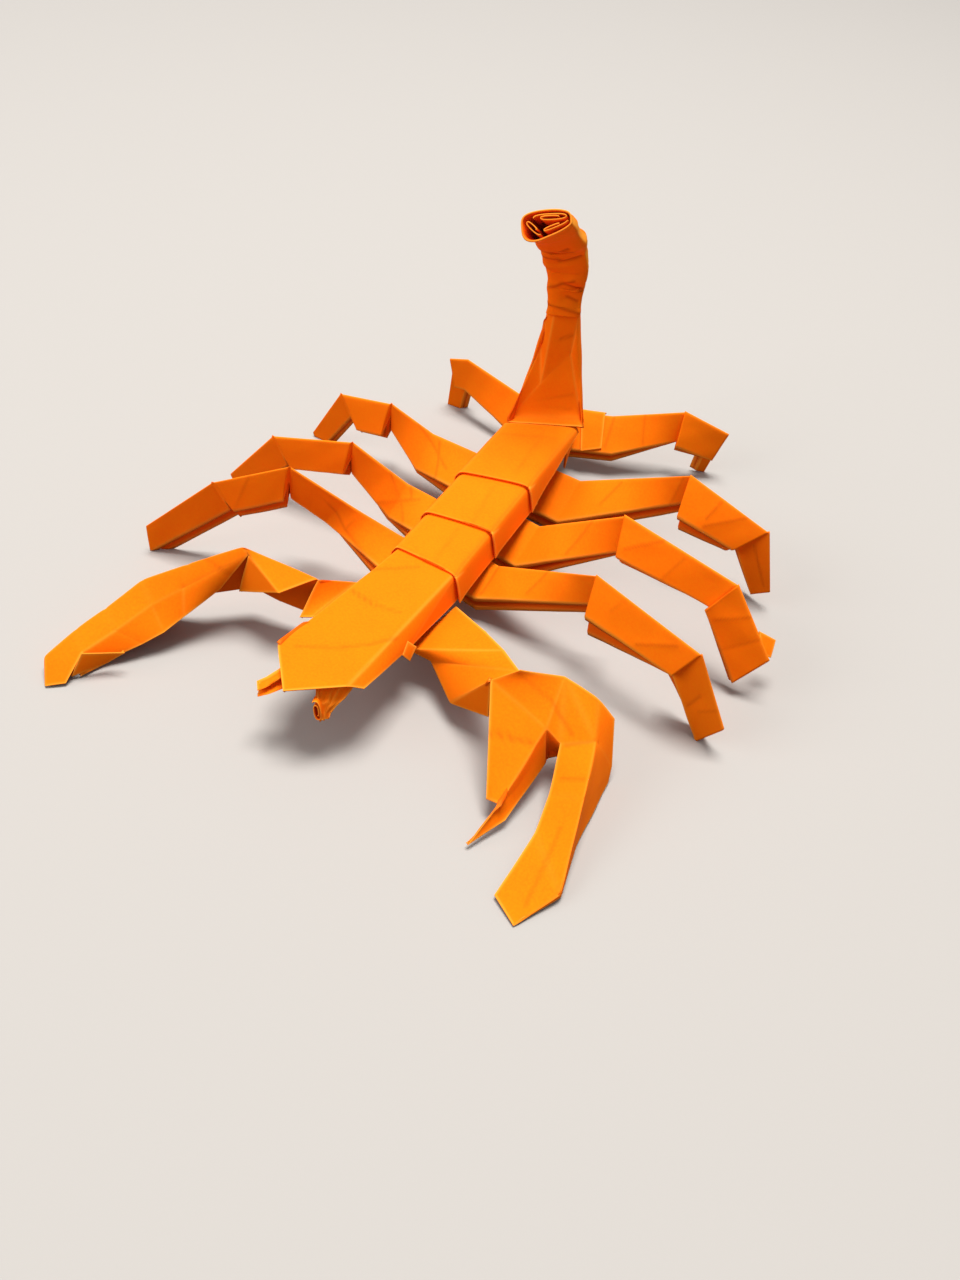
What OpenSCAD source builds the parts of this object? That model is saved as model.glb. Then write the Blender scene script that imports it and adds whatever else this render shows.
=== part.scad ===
// Scorpion folded from one square sheet of coloured paper.
// X runs across the body, Y from head to tail, Z up from the table that the feet stand on.
// Left and right are as seen from in front of the head.

/* [Paper] */
// Thickness of the folded plies in a leg
leg_ply = 0.6; // [0.5:0.1:0.9]
// Thickness of the folded plies in a claw
claw_ply = 0.8; // [0.6:0.1:1.1]
// Thickness of the plies in one plate of the back
plate = 0.9; // [0.8:0.1:1.2]

/* [Back] */
// Height of the head shield above the table
back_h = 16; // [15:0.5:17.5]
// Width of the back between its two long folds
back_w = 14; // [13:0.5:15.5]
// Depth of the sides folded down along the back
side_h = 6.5; // [5:0.5:7]
// How far the lower edge of a side stands out from its fold
side_flare = 1.2; // [0:0.2:2]
// Length of the head shield from its rear pleat to its front corners
shield_len = 35; // [31:1:38]
// Width of the head shield across its front corners
shield_w = 19; // [17:0.5:21]
// Length of the blunt point in front of those corners
shield_tip = 8.5; // [6:0.5:11]
// Angle by which the head shield turns to the left
shield_turn = 4; // [0:1:7]
// Length of the first plate behind the head shield
first_len = 14; // [12:0.5:16]
// Length of the second plate
second_len = 16.5; // [14:0.5:19]
// Rise of each plate over the one in front of it
pleat_rise = 0.6; // [0.4:0.1:0.7]
// Length of each plate hidden under the next one
pleat_lap = 4; // [2.5:0.5:6]
// Height of the underside above the table
belly_h = 7; // [6.5:0.5:8]

/* [Tail] */
// Height of the tail's open end above the table
tail_h = 69; // [62:1:76]
// Width of the tail where it rises from the rear plate
tail_root_w = 16; // [14:0.5:17.5]
// Width of the tail at its neck
tail_neck_w = 6.8; // [6.4:0.2:8]
// Width of the tail at its open end
tail_end_w = 10; // [9:0.5:12]
// Thickness of the rolled paper at the open end
tail_end_t = 5.2; // [4.4:0.2:6]
// Width of the slits between the rolled plies at the open end
tail_slit = 0.9; // [0.6:0.1:1.1]

/* [Legs] */
// Width of the folded strip in the legs, from ridge to open edges
leg_w = 8.5; // [7.5:0.5:9.5]
// Angle between the front and the rear flap of a leg
leg_gape = 11; // [8:1:16]
// How much wider the rear flap of a leg is than the front one
rear_over = 1; // [0:0.2:1.6]
// Width of the wedge that opens at a left leg's bends
crimp = 1.2; // [0:0.2:2]
// Height of the front legs' knees above the table
front_knee_h = 24; // [22:0.5:26]
// Distance from the body's middle to the farthest right foot
right_reach = 70.8; // [67:0.5:76]
// Distance from the body's middle to the farthest left foot
left_reach = 66; // [63:0.5:71]
// Distance from the rear plate's end back to the root of the rear right leg
rear_reach = 17.7; // [16:0.5:20]

/* [Claws] */
// Height of both elbows above the table
elbow_h = 20; // [18:0.5:22]
// Distance of the elbows from the body's middle
elbow_out = 30.5; // [29:0.5:32]
// Height of the open claw's palm at the fold of its outer finger
palm_h = 12; // [11:0.5:14]
// Height of the arms' lower edges above the table
arm_low = 5; // [4:0.5:6.5]
// Distance from the shield's rear pleat forward to the open claw's tip
claw_reach = 56; // [54:0.5:60]

/* [Hidden] */
paper_colour = "#FF7A0A";

function unit(v) = v / norm(v);
function mix(a, b, k) = a + (b - a) * k;
function total(list) = list * [for (i = list) 1];
function added(v) = [for (k = [0:2]) total([for (p = v) p[k]])];
function count(list, x) = len([for (y = list) if (y == x) 1]);
function facet_normal(c) =
    unit(added([for (i = [1:len(c) - 2]) cross(c[i] - c[0], c[i + 1] - c[0])]));
function facet_edges(f) = [for (i = [0:len(f) - 1]) [f[i], f[(i + 1) % len(f)]]];
function backward(f) = [for (i = [len(f) - 1:-1:0]) f[i]];

// The way a corner moves when all the facets around it move out by one
function corner_shift(around) =
    let (v = unit(added(around)), k = added(around) * v / len(around))
    v / max(k, 0.5);

// A folded sheet: facets between corner points, each listed anticlockwise as seen from outside.
// The outer faces lie `out` beyond the points and the plies are t thick behind them.
module folded(points, facets, t, out = 0) {
    n = len(points);
    normals = [for (f = facets) facet_normal([for (i = f) points[i]])];
    shift = [
        for (i = [0:n - 1])
            corner_shift([for (k = [0:len(facets) - 1]) if (count(facets[k], i) > 0) normals[k]])
    ];
    edges = [for (f = facets) each facet_edges(f)];
    rim = [for (e = edges) if (count(edges, [e[1], e[0]]) == 0) e];
    polyhedron(
        points = concat(
            [for (i = [0:n - 1]) points[i] + out * shift[i]],
            [for (i = [0:n - 1]) points[i] + (out - t) * shift[i]]
        ),
        faces = concat(
            [for (f = facets) backward(f)],
            [for (f = facets) [for (i = f) i + n]],
            [for (e = rim) [e[0], e[1], e[1] + n, e[0] + n]]
        )
    );
}

// The four plates of the back start at these places behind the shield's rear pleat
first_y = 0;
second_y = first_y + first_len;
rear_y = second_y + second_len;
tail_y = rear_y + 25;
// How much further back the right end of each pleat lies than its left end
pleat_skew = [-1, 2, 4, 8];
bevel = 1.7;

function pleat_end(side, y, skew, w, z) = [side * w / 2, y + side * skew / 2, z];

// One plate: a flat top with a side folded down at each long edge
module back_plate(y0, y1, skew0, skew1, z, w, drop0, drop1) {
    fl = pleat_end(-1, y0, skew0, w, z);
    fr = pleat_end(1, y0, skew0, w, z);
    rl = pleat_end(-1, y1, skew1, w, z);
    rr = pleat_end(1, y1, skew1, w, z);
    down = [side_flare / side_h, 0, -1];
    step = [-bevel * 0.6, 0, -bevel];
    left = [-0.6, 0, -side_h];
    folded(
        [
            fl, fr, rr, rl,
            fr + drop0 * down, rr + drop1 * down,
            fl + step, rl + step,
            fl + left + step, rl + left + step
        ],
        [[0, 1, 2, 3], [1, 4, 5, 2], [3, 7, 6, 0], [7, 9, 8, 6]],
        plate
    );
}

// The head shield widens to the front and ends in a blunt point
module head_shield() {
    z = back_h;
    w = back_w / 2;
    front = shield_w / 2;
    rotate([0, 0, -shield_turn])
        folded(
            [
                [-w, pleat_lap, z],
                [-front, -shield_len, z],
                [-1.5, -shield_len - shield_tip, z],
                [front - 2.4, -shield_len - 1, z],
                [w, pleat_lap, z],
                [w + side_flare, pleat_lap, z - side_h],
                [w + 1.6, -20, z - 4],
                [front - 0.6, -shield_len + 1.5, z - 1.8],
                [-w - 1.4, pleat_lap, z - side_h],
                [-front + 0.4, -shield_len + 8, z - 4]
            ],
            [[0, 1, 2, 3, 4], [4, 3, 7, 6], [4, 6, 5], [0, 8, 9], [0, 9, 1]],
            plate
        );
}

module back() {
    head_shield();
    z1 = back_h + pleat_rise;
    z2 = z1 + pleat_rise;
    z3 = z2 + pleat_rise;
    w1 = back_w + 0.4;
    w2 = w1 + 0.4;
    w3 = w2 + 0.4;
    back_plate(first_y, second_y + pleat_lap, pleat_skew[0], pleat_skew[1], z1, w1, side_h, side_h);
    back_plate(second_y, rear_y + pleat_lap, pleat_skew[1], pleat_skew[2], z2, w2, side_h, side_h);
    back_plate(rear_y, tail_y, pleat_skew[2], pleat_skew[3], z3, w3, side_h, 1.5);
}

// The underside: the legs' inner plies lie flat under the back, with the shield's lining in front
module belly() {
    z = belly_h + 1.4;
    w = back_w / 2 - 1;
    folded(
        [
            [-w - 2, -33, back_h - 2],
            [w - 1, -33, back_h - 2],
            [w, -14, z],
            [w, tail_y - 3, z],
            [w, tail_y + 3, back_h + 1],
            [-w - 1, tail_y - 3, back_h + 1],
            [-w, tail_y - 10, z],
            [-w, -14, z]
        ],
        [[0, 1, 2, 7], [7, 2, 3, 6], [6, 3, 4, 5]],
        1.4
    );
}

// The body's end behind the tail, where the rear legs leave it
module rump() {
    folded(
        [
            [-8, tail_y - 6, back_h],
            [7, tail_y, back_h],
            [2.5, tail_y + 18, 12.4],
            [-9.5, tail_y + 16.5, 12.6],
            [7, tail_y, belly_h + 1],
            [2.5, tail_y + 18.5, belly_h + 1],
            [-9.5, tail_y + 17, belly_h + 1],
            [-8, tail_y - 6, belly_h + 1]
        ],
        [[0, 1, 2, 3], [1, 4, 5, 2], [2, 5, 6, 3], [3, 6, 7, 0]],
        1.2
    );
}

// Section of a leg at one station: outside the front flap, inside it, inside the rear flap, outside it.
// The plies press together for the first two millimetres under the ridge.
function leg_section(ridge, front, rear) =
    let (across = leg_ply * unit(rear - front), down = 2 * unit((front + rear) / 2 - ridge))
    [ridge, front, front + across, ridge + down, rear - across, rear];

// Whether d lies outside the facet a, b, c
function beyond(side, a, b, c, d) = side * (cross(b - a, c - a) * (d - a)) > 0;

// More stations where the strip twists much, so that it turns smoothly
function refined(q) = [
    for (k = [0:len(q) - 1])
        let (n = k < len(q) - 1 && unit(q[k][1] - q[k][0]) * unit(q[k + 1][1] - q[k + 1][0]) < 0.85 ? 3 : 1)
        for (j = [0:n - 1])
            j == 0 ? q[k] : [for (i = [0:2]) mix(q[k][i], q[k + 1][i], j / n)]
];

// The strip of a leg, folded over its ridge, with a front and a rear flap.
// A station holds a ridge point and the edges of both flaps. Between stations each flap bulges outwards.
module leg_strip(side, stations) {
    q = refined(stations);
    last = 6 * (len(q) - 1);
    cap = [[0, 1, 2], [0, 2, 3], [0, 3, 4], [0, 4, 5]];
    facets = concat(
        [
            for (k = [0:len(q) - 2])
                let (
                    front = beyond(side, q[k][0], q[k][1], q[k + 1][1], q[k + 1][0]),
                    rear = beyond(side, q[k][0], q[k + 1][0], q[k + 1][2], q[k][2]),
                    front_walls = front
                        ? [[0, 1, 6], [1, 7, 6], [2, 3, 9], [2, 9, 8]]
                        : [[0, 1, 7], [0, 7, 6], [2, 3, 8], [3, 9, 8]],
                    rear_walls = rear
                        ? [[0, 6, 5], [5, 6, 11], [3, 4, 9], [4, 10, 9]]
                        : [[0, 11, 5], [0, 6, 11], [3, 4, 10], [3, 10, 9]],
                    edges = [[1, 2, 8], [1, 8, 7], [4, 5, 11], [4, 11, 10]]
                )
                for (w = concat(front_walls, rear_walls, edges))
                    [for (i = w) i + 6 * k]
        ],
        [for (f = cap) backward(f)],
        [for (f = cap) [for (i = f) i + last]]
    );
    polyhedron(
        points = [for (s = q) each leg_section(s[0], s[1], s[2])],
        faces = side > 0 ? [for (f = facets) backward(f)] : facets
    );
}

// Points of a leg's ridge, all in one upright plane. root gives where that plane leaves the body's
// middle, and by how much it turns towards the tail.
function leg_out(side, turn) = [side * cos(turn), sin(turn), 0];
function leg_point(side, root, q) = [0, root[0], 0] + q[0] * leg_out(side, root[1]) + [0, 0, q[1]];
function mitre(a, b) = let (m = unit(a + b)) m / max(m * a, 0.6);

// A leg: ridge lists [reach, height]; flaps lists, for each length between two ridge points, how much
// wider than leg_w the front flap is and how far it leans forward, where the length starts and ends.
// Where two lengths differ at the point that they share, the leg has a bend.
module leg(side, root, ridge, flaps, foot_cut) {
    out = leg_out(side, root[1]);
    ahead = [side * sin(root[1]), -cos(root[1]), 0];
    p = [for (q = ridge) leg_point(side, root, q)];
    n = len(p) - 1;
    d = [for (i = [0:n - 1]) unit(p[i + 1] - p[i])];
    hang = [for (v = d) (v * out) * [0, 0, -1] + v[2] * out];
    joint = [for (i = [0:n]) mitre(hang[max(i - 1, 0)], hang[min(i, n - 1)])];
    width = [for (f = flaps) [for (end = f) leg_w + end[0]]];
    // Station i at the end of the length before it (end = 1) or the start of the one after it (end = 0).
    // The flaps' edges end `cut` short of the point where the ridges meet, and the ridge at most 0.4.
    function station(i, end, cut, part = 1) =
        let (k = i - end, along = d[k], back = end == 1 ? 1 : -1)
        [
            p[i] - back * max(0, min(cut, 0.4)) * along,
            for (rear = [0, 1])
                let (
                    w = (width[k][end] + rear * rear_over) * part,
                    lean = flaps[k][end][1] - rear * leg_gape
                )
                p[i] + w * (cos(lean) * joint[i] + sin(lean) * ahead) - back * cut * along
        ];
    leg_strip(side, [
        station(0, 0, 0),
        for (i = [1:n - 1])
            each flaps[i][0] == flaps[i - 1][1]
                ? [station(i, 0, 0)]
                : side > 0
                    ? [station(i, 1, 0.4), station(i, 0, 0.4)]
                    : [station(i, 1, crimp / 2), station(i, 1, 0, 0.55), station(i, 0, crimp / 2)],
        station(n, 1, -foot_cut)
    ]);
}

// Where the legs leave the body's middle, and their turns
right_1_root = [18.2, -17];
right_2_root = [35, -14];
right_3_root = [54.6, -10];
right_4_root = [tail_y + rear_reach, 17];
left_1_root = [13, -22];
left_2_root = [25, -7];
left_3_root = [43.7, 0];
left_4_root = [tail_y + rear_reach - 2.2, 5];

// Where the ridges start inside the body
right_start = [back_w / 2 - 3, belly_h + 1.6];
left_start = [back_w / 2 - 2, belly_h + 2.6];

// Ridge points of the legs, from the body out to the foot
right_1 = [right_start, [10.4, 9], [34.6, front_knee_h - 1], [60.6, 21], [right_reach - 1.4, 7.5]];
right_2 = [right_start, [12, 9], [32, front_knee_h], [59.8, 23], [right_reach, 10]];
right_3 = [right_start, [12.8, 9.1], [38.6, 24], [59, 19.5], [right_reach - 7.6, 5]];
right_4 = [[-3, 11.5], [10.5, 12.6], [27.3, 17.3], [39, 13], [35.4, 0]];
left_1 = [
    left_start, [11.6, 12.8], [23.2, 19.8], [34.4, front_knee_h + 3], [50.8, 20.6], [left_reach, 6.9]
];
left_2 = [left_start, [10.5, 12.8], [17, 14.6], [30.4, 21.2], [50, 16.7], [left_reach - 4.4, 2.5]];
left_3 = [left_start, [10.6, 12.9], [22, 13.8], [33.4, 17.6], [47.4, 15.3], [left_reach - 10.6, 1.2]];
left_4 = [[3, 10], [13.3, 12.6], [29, 16.2], [34.2, 14.4], [34.6, 0]];

module legs() {
    leg(1, right_1_root, right_1, [
        [[1, 66], [1, 66]],
        [[1, 66], [-0.7, -4]],
        [[0, 26], [0, 17]],
        [[0, 3], [0, 0]]
    ], 4);
    leg(1, right_2_root, right_2, [
        [[3, 64], [3, 64]],
        [[3, 64], [0, 3]],
        [[0, 28], [0, 12]],
        [[0, 18], [0.7, 28]]
    ], 2.5);
    leg(1, right_3_root, right_3, [
        [[4, 64], [4, 64]],
        [[4, 64], [-1, -6]],
        [[0.5, 30], [0.5, 18]],
        [[-1, -4], [-5, 0]]
    ], 2);
    leg(1, right_4_root, right_4, [
        [[1.5, 50], [1.5, 48]],
        [[1.5, 48], [0, 8]],
        [[0, 24], [0, 8]],
        [[-4, 20], [-6, 20]]
    ], 0);
    leg(-1, left_1_root, left_1, [
        [[1.5, 68], [1.5, 68]],
        [[1.5, 68], [-0.2, -6]],
        [[-0.2, -6], [-0.7, -8]],
        [[-0.5, -4], [-0.5, 0]],
        [[-0.7, -8], [-2.5, -2]]
    ], 4.5);
    leg(-1, left_2_root, left_2, [
        [[1.5, 68], [1.5, 68]],
        [[1.5, 68], [0.7, 30]],
        [[0.7, 30], [-0.2, -4]],
        [[0, 2], [0, -2]],
        [[-0.5, -8], [-2.5, -3]]
    ], 3);
    leg(-1, left_3_root, left_3, [
        [[2.5, 66], [2.5, 66]],
        [[2.5, 66], [1.3, 32]],
        [[1.3, 32], [-1.3, 0]],
        [[0.3, 10], [0.3, 8]],
        [[-2.5, -8], [-4, 0]]
    ], 3);
    leg(-1, left_4_root, left_4, [
        [[1, 30], [1, 25]],
        [[1, 25], [0, 6]],
        [[0, 6], [-0.5, 2]],
        [[-2.5, -6], [-4.5, -6]]
    ], 0);
}

// Tail: a flattened roll along a route of points. Each has its place behind the rear plate, its height,
// and the roll's width, depth and turn there.
tail_x = -1.5;
tail_rings = [
    [-1.5, back_h + 1, tail_root_w, 1.6, 27],
    [0.5, back_h + 7, tail_root_w - 1, 2.4, 27],
    [3, 31, mix(tail_root_w, tail_neck_w, 0.65), 3, 27],
    [5.5, 39, tail_neck_w + 0.7, 3.4, 26],
    [7, 44.5, tail_neck_w, 3.6, 24],
    [7, 49, tail_neck_w + 1.2, 3.8, 20],
    [5.5, 54, mix(tail_neck_w, tail_end_w, 0.75), 4, 15],
    [1.5, 60.5, tail_end_w - 0.3, 4.4, 10],
    [-5, tail_h - 3, tail_end_w - 0.5, 4.8, 8],
    [-9.1, tail_h - 0.2, tail_end_w, tail_end_t, 6]
];
tail_last = len(tail_rings) - 1;

function tail_centre(i) = [tail_x, tail_y + tail_rings[i][0], tail_rings[i][1]];
function tail_dir(i) = unit(tail_centre(min(i + 1, tail_last)) - tail_centre(max(i - 1, 0)));
function tail_across(i) = [cos(tail_rings[i][4]), sin(tail_rings[i][4]), 0];
function tail_through(i) = unit(cross(tail_dir(i), tail_across(i)));

// A slice across the tail, of width w and depth t with blunt corners
module tail_slice(i, w, t) {
    c = t * 0.3;
    half = w / 2;
    shape = [
        [half - c, -t / 2], [half, 0], [half - c, t / 2],
        [c - half, t / 2], [-half, 0], [c - half, -t / 2]
    ];
    ring = [for (q = shape) tail_centre(i) + q[0] * tail_across(i) + q[1] * tail_through(i)];
    walls = [for (k = [0:5]) [(k + 1) % 6, k, k + 6, (k + 1) % 6 + 6]];
    polyhedron(
        points = concat(ring, [for (p = ring) p + 0.5 * tail_dir(i)]),
        faces = concat([[for (k = [0:5]) k], [for (k = [5:-1:0]) k + 6]], walls)
    );
}

module tail() {
    difference() {
        for (i = [0:tail_last - 1])
            hull() {
                tail_slice(i, tail_rings[i][2], tail_rings[i][3]);
                tail_slice(i + 1, tail_rings[i + 1][2], tail_rings[i + 1][3]);
            }
        // Two slits between the rolled plies of the open end
        for (side = [-1, 1])
            tail_end_frame()
                translate([side * 0.6, side * tail_end_t / 5, 0])
                    cube([tail_end_w - 3.6, tail_slit, 7], center = true);
    }
}

// Places its children at the open end, with X across the tail, Y through it and Z along it
module tail_end_frame() {
    x = tail_across(tail_last);
    z = tail_dir(tail_last);
    y = tail_through(tail_last);
    c = tail_centre(tail_last);
    multmatrix([[x[0], y[0], z[0], c[0]], [x[1], y[1], z[1], c[1]], [x[2], y[2], z[2], c[2]], [0, 0, 0, 1]])
        children();
}

// Right claw, open, turned with its palm up
module right_claw() {
    folded(
        [
            [8, -1, 9],                     // 0 ridge of the arm at the body
            [18.5, -9.5, 14.5],
            [25, -15, 17.5],
            [elbow_out, -20.5, elbow_h],    // 3 elbow
            [5, -16, 8],
            [10.5, -16, 7.5],               // 5 lower edge of the arm
            [18, -21.5, arm_low],
            [26, -22.5, elbow_h - 3],       // 7 where arm and palm fold together
            [26.5, -22.5, arm_low + 2],
            [37.5, -15.5, 18],              // 9 back of the palm
            [44.5, -14.5, 15],
            [48, -14, 11],
            [50.5, -18, 3],
            [38.5, -24, palm_h + 0.5],      // 13 inner side of the palm
            [41.5, -24, palm_h - 2],
            [47.5, -21.5, palm_h],          // 15 ridge of the outer finger
            [50, -31.5, 8],
            [53.5, -47.5, 2],
            [43.5, -31.5, 5],               // 18 inner edge of the outer finger
            [44.5, -39, 3],
            [43.5, 3.5 - claw_reach, 1],
            [49, -claw_reach, 0.6],         // 21 tip of the outer finger
            [51, -20, 0.6],                 // 22 foot of the outer finger's wall
            [51.5, -36, 0.6],
            [53.5, -47, 0.6],
            [34, -37.5, 4],                 // 25 end of the inner finger
            [37, -38, 5],
            [35, -46, 1.2],
            [40, -25.5, 5],                 // 28 lower edge of the inner finger's wall
            [38.5, -38.5, 2]
        ],
        [
            [0, 4, 2, 1], [4, 5, 3, 2], [5, 6, 7, 3], [6, 8, 7],
            [3, 7, 13, 9], [9, 13, 14], [9, 14, 15], [9, 15, 10], [10, 15, 12, 11],
            [7, 25, 26, 13], [13, 26, 27, 29, 28],
            [14, 18, 16, 15], [18, 19, 17, 16], [19, 20, 21, 17],
            [15, 16, 23, 22, 12], [16, 17, 24, 23], [17, 21, 24]
        ],
        claw_ply
    );
}

// Left claw, its two fingers pressed together
module left_claw() {
    folded(
        [
            [-4, -4, 9.5],                  // 0 inside the body
            [-4, -13.5, belly_h + 1],
            [-11, -8, 12],                  // 2 ridge of the arm at the body
            [-16, -14, 15],
            [-elbow_out, -18.5, elbow_h],   // 4 elbow
            [-15, -18, 8],
            [-17.5, -18.5, 7],              // 6 lower edge of the arm
            [-22.5, -17.5, 11],
            [-31, -20.5, 9],
            [-29, -19, elbow_h - 1.5],      // 9 where arm and blade fold together
            [-17.5, -14.5, arm_low],        // 10 lower edge of the arm's rear flap
            [-24, -15.5, arm_low + 1],
            [-30.5, -16, arm_low + 3.5],
            [-39.5, -25, 16],               // 13 top edge of the blade
            [-47, -30, 12],
            [-50.5, -37.5, 8.5],
            [-53, -43.5, 6.5],
            [-55, -50.5, 4],
            [-38.5, -28, 12],               // 18 crease where the fingers meet
            [-43, -32.5, 9],
            [-46, -40, 6.5],
            [-49, -46.5, 4.5],
            [-33, -23.5, 11],               // 22 lower edge of the blade
            [-37, -30.5, 7],
            [-39, -34.5, 5],
            [-41.5, -38, 3.5],
            [-44, -41.5, 2.5],
            [-52, -54.5, 0.6],              // 27 tips
            [-49, -52, 0.8],
            [-48, -49, 0.6],
            [-46, -43.5, 0.6],
            [-38, -22.5, 8],                // 31 foot of the outer wall
            [-47.5, -28, 1],
            [-52, -36, 0.6],
            [-54.5, -43, 0.6],
            [-56, -50, 0.6],
            [-10, -9, arm_low]              // 36 rear flap at the body
        ],
        [
            [0, 2, 5, 1], [2, 3, 6, 5], [3, 2, 36, 10], [3, 4, 9, 7], [7, 9, 8],
            [3, 10, 11, 4], [11, 12, 4],
            [4, 13, 18, 9], [9, 18, 23, 22], [13, 14, 19, 18], [14, 15, 20, 19], [15, 16, 21, 20],
            [18, 19, 24, 23], [19, 20, 25, 24], [20, 21, 26, 25],
            [16, 17, 27, 28, 21], [21, 29, 30, 26],
            [13, 4, 31], [14, 13, 31, 32], [15, 14, 32, 33], [16, 15, 33, 34],
            [17, 16, 34, 35], [27, 17, 35]
        ],
        claw_ply
    );
}

// Two small crumpled mouthparts under the shield's point
module mouthparts() {
    z = back_h - 3;
    hull() {
        translate([-8, -33, z])
            cube([3.6, 3, 1.6], center = true);
        translate([-12.6, -39, z - 3])
            cube([1.8, 2.6, 2], center = true);
    }
    hull() {
        translate([0, -33, z])
            cube([4.6, 3, 1.6], center = true);
        translate([2.2, -40.6, z - 2.6])
            cube([1.2, 1.4, 1.2], center = true);
    }
}

// Middle of the footprint: from the left front foot to the right second one, from claw tip to rear leg
west = leg_point(-1, left_1_root, left_1[5])[0];
east = leg_point(1, right_2_root, right_2[4])[0];
south = -claw_reach;
north = leg_point(1, right_4_root, right_4[3])[1];

// Everything above the table
space = 250;

module scorpion() {
    color(paper_colour)
        translate([-(west + east) / 2, -(south + north) / 2, 0])
            intersection() {
                union() {
                    back();
                    belly();
                    rump();
                    legs();
                    tail();
                    right_claw();
                    left_claw();
                    mouthparts();
                }
                translate([-space / 2, -space / 2, 0])
                    cube(space);
            }
}

scorpion();
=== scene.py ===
import bpy
import numpy as np
from mathutils import Matrix


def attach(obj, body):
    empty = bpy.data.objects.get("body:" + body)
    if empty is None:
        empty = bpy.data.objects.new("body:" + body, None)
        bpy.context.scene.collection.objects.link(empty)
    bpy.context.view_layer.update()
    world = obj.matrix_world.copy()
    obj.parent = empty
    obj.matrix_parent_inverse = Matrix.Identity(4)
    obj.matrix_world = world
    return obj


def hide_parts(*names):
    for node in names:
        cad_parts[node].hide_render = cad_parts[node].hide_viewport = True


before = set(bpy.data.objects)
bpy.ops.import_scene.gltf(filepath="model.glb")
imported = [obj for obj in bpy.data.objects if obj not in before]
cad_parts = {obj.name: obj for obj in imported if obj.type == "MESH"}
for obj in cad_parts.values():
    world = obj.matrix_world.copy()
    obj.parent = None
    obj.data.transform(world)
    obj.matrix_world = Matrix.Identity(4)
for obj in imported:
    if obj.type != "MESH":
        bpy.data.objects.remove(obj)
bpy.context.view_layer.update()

# A scorpion folded from one square of orange paper. Everything is worked out in millimetres in the
# body's own frame: X across, Y from head to tail with 0 at the shield's rear pleat, Z up from the floor.
# Right is the side of the open claw. place() then moves it to the model's frame.
MM = 0.001

# The back's height and width, how far its sides fold down and flare out, and the belly's height
BACK_H = 16.0
BACK_W = 14.0
SIDE_H = 6.5
SIDE_FLARE = 1.2
BELLY_H = 7.0

# The head shield's length, its width in front, its blunt point, and its turn towards the open claw in degrees
SHIELD_LEN = 35.0
SHIELD_W = 19.0
SHIELD_TIP = 8.5
SHIELD_TURN = 4.0

# The three plates: their lengths, how far the rear one's side folds down at its end, and each pleat's step
# up, gain in width, overlap and slant
FIRST_LEN = 14.0
SECOND_LEN = 16.5
REAR_LEN = 25.0
REAR_SIDE_H = 1.5
PLEAT_RISE = 0.6
PLEAT_WIDEN = 0.4
PLEAT_LAP = 4.0
PLEAT_SKEW = (-1.0, 2.0, 4.0, 8.0)
TAIL_Y = FIRST_LEN + SECOND_LEN + REAR_LEN

# A leg's flaps: width, the angle between them in degrees, how much longer the rear one is, and half the
# width of the ridge. The wedge left open at a left leg's bend, and the share of the flap inside it. How far
# down and back a rear leg's foot starts. Where the legs start, out and up.
LEG_W = 8.5
LEG_GAPE = 11.0
REAR_OVER = 1.0
RIDGE_HALF = 0.42
CRIMP = 1.2
CRIMP_PART = 0.55
FOOT_DOWN = 2.5
FOOT_BACK = 1.0
RIGHT_START = (BACK_W / 2 - 3, BELLY_H + 1.6)
LEFT_START = (BACK_W / 2 - 2, BELLY_H + 2.6)

# Plies: one ply, the gap under it, and how far the inner one stops short
PLY = 0.24
PLY_GAP = 0.07
SET_BACK = 0.35

# Cells along half a side of a facet, which keep the object under a million triangles
SHIELD_CELLS = 36
PLATE_CELLS = 14
UNDERSIDE_CELLS = 10
RUMP_CELLS = 10
TAIL_ROOT_CELLS = 12
RIGHT_CLAW_CELLS = 12
LEFT_CLAW_CELLS = 11
MOUTHPART_CELLS = 9

# A leg's columns on each flap, and the length of its rows
LEG_CELLS = 22
LEG_ROW = 0.42


# Small helpers for arrays of points

def unit(v):
    """A vector, or each row of an array of them, at length one."""
    v = np.asarray(v, float)
    return v / np.maximum(np.linalg.norm(v, axis=-1, keepdims=True), 1e-12)


def mix(a, b, k):
    """The point or number a share k of the way from a to b."""
    return a + (b - a) * k


def polygon_normal(c):
    """Area-weighted normal of a polygon of corners, fanned from its first one."""
    return unit(np.cross(c[1:-1] - c[0], c[2:] - c[0]).sum(axis=0))


def ripple(p, seed, pitch):
    """Smooth unevenness between -1 and 1: four sine waves across each point, in directions and phases
    drawn once from the seed, each a little longer or shorter than the pitch in mm."""
    rng = np.random.default_rng(seed)
    ways = unit(rng.normal(size=(4, 3))) * (2 * np.pi / (pitch * np.array([0.8, 1.0, 1.3, 1.7])))[:, None]
    phases = rng.uniform(0, 2 * np.pi, 4)
    return np.sin(p @ ways.T + phases).sum(axis=1) / 4


def from_segments(p, a, b):
    """Distance from every point p to every segment a-b, as an array of points by segments."""
    ab = b - a
    t = np.clip(((p[:, None] - a) * ab).sum(-1) / np.maximum((ab * ab).sum(-1), 1e-9), 0, 1)
    return np.linalg.norm(p[:, None] - (a + t[..., None] * ab), axis=-1)


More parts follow.
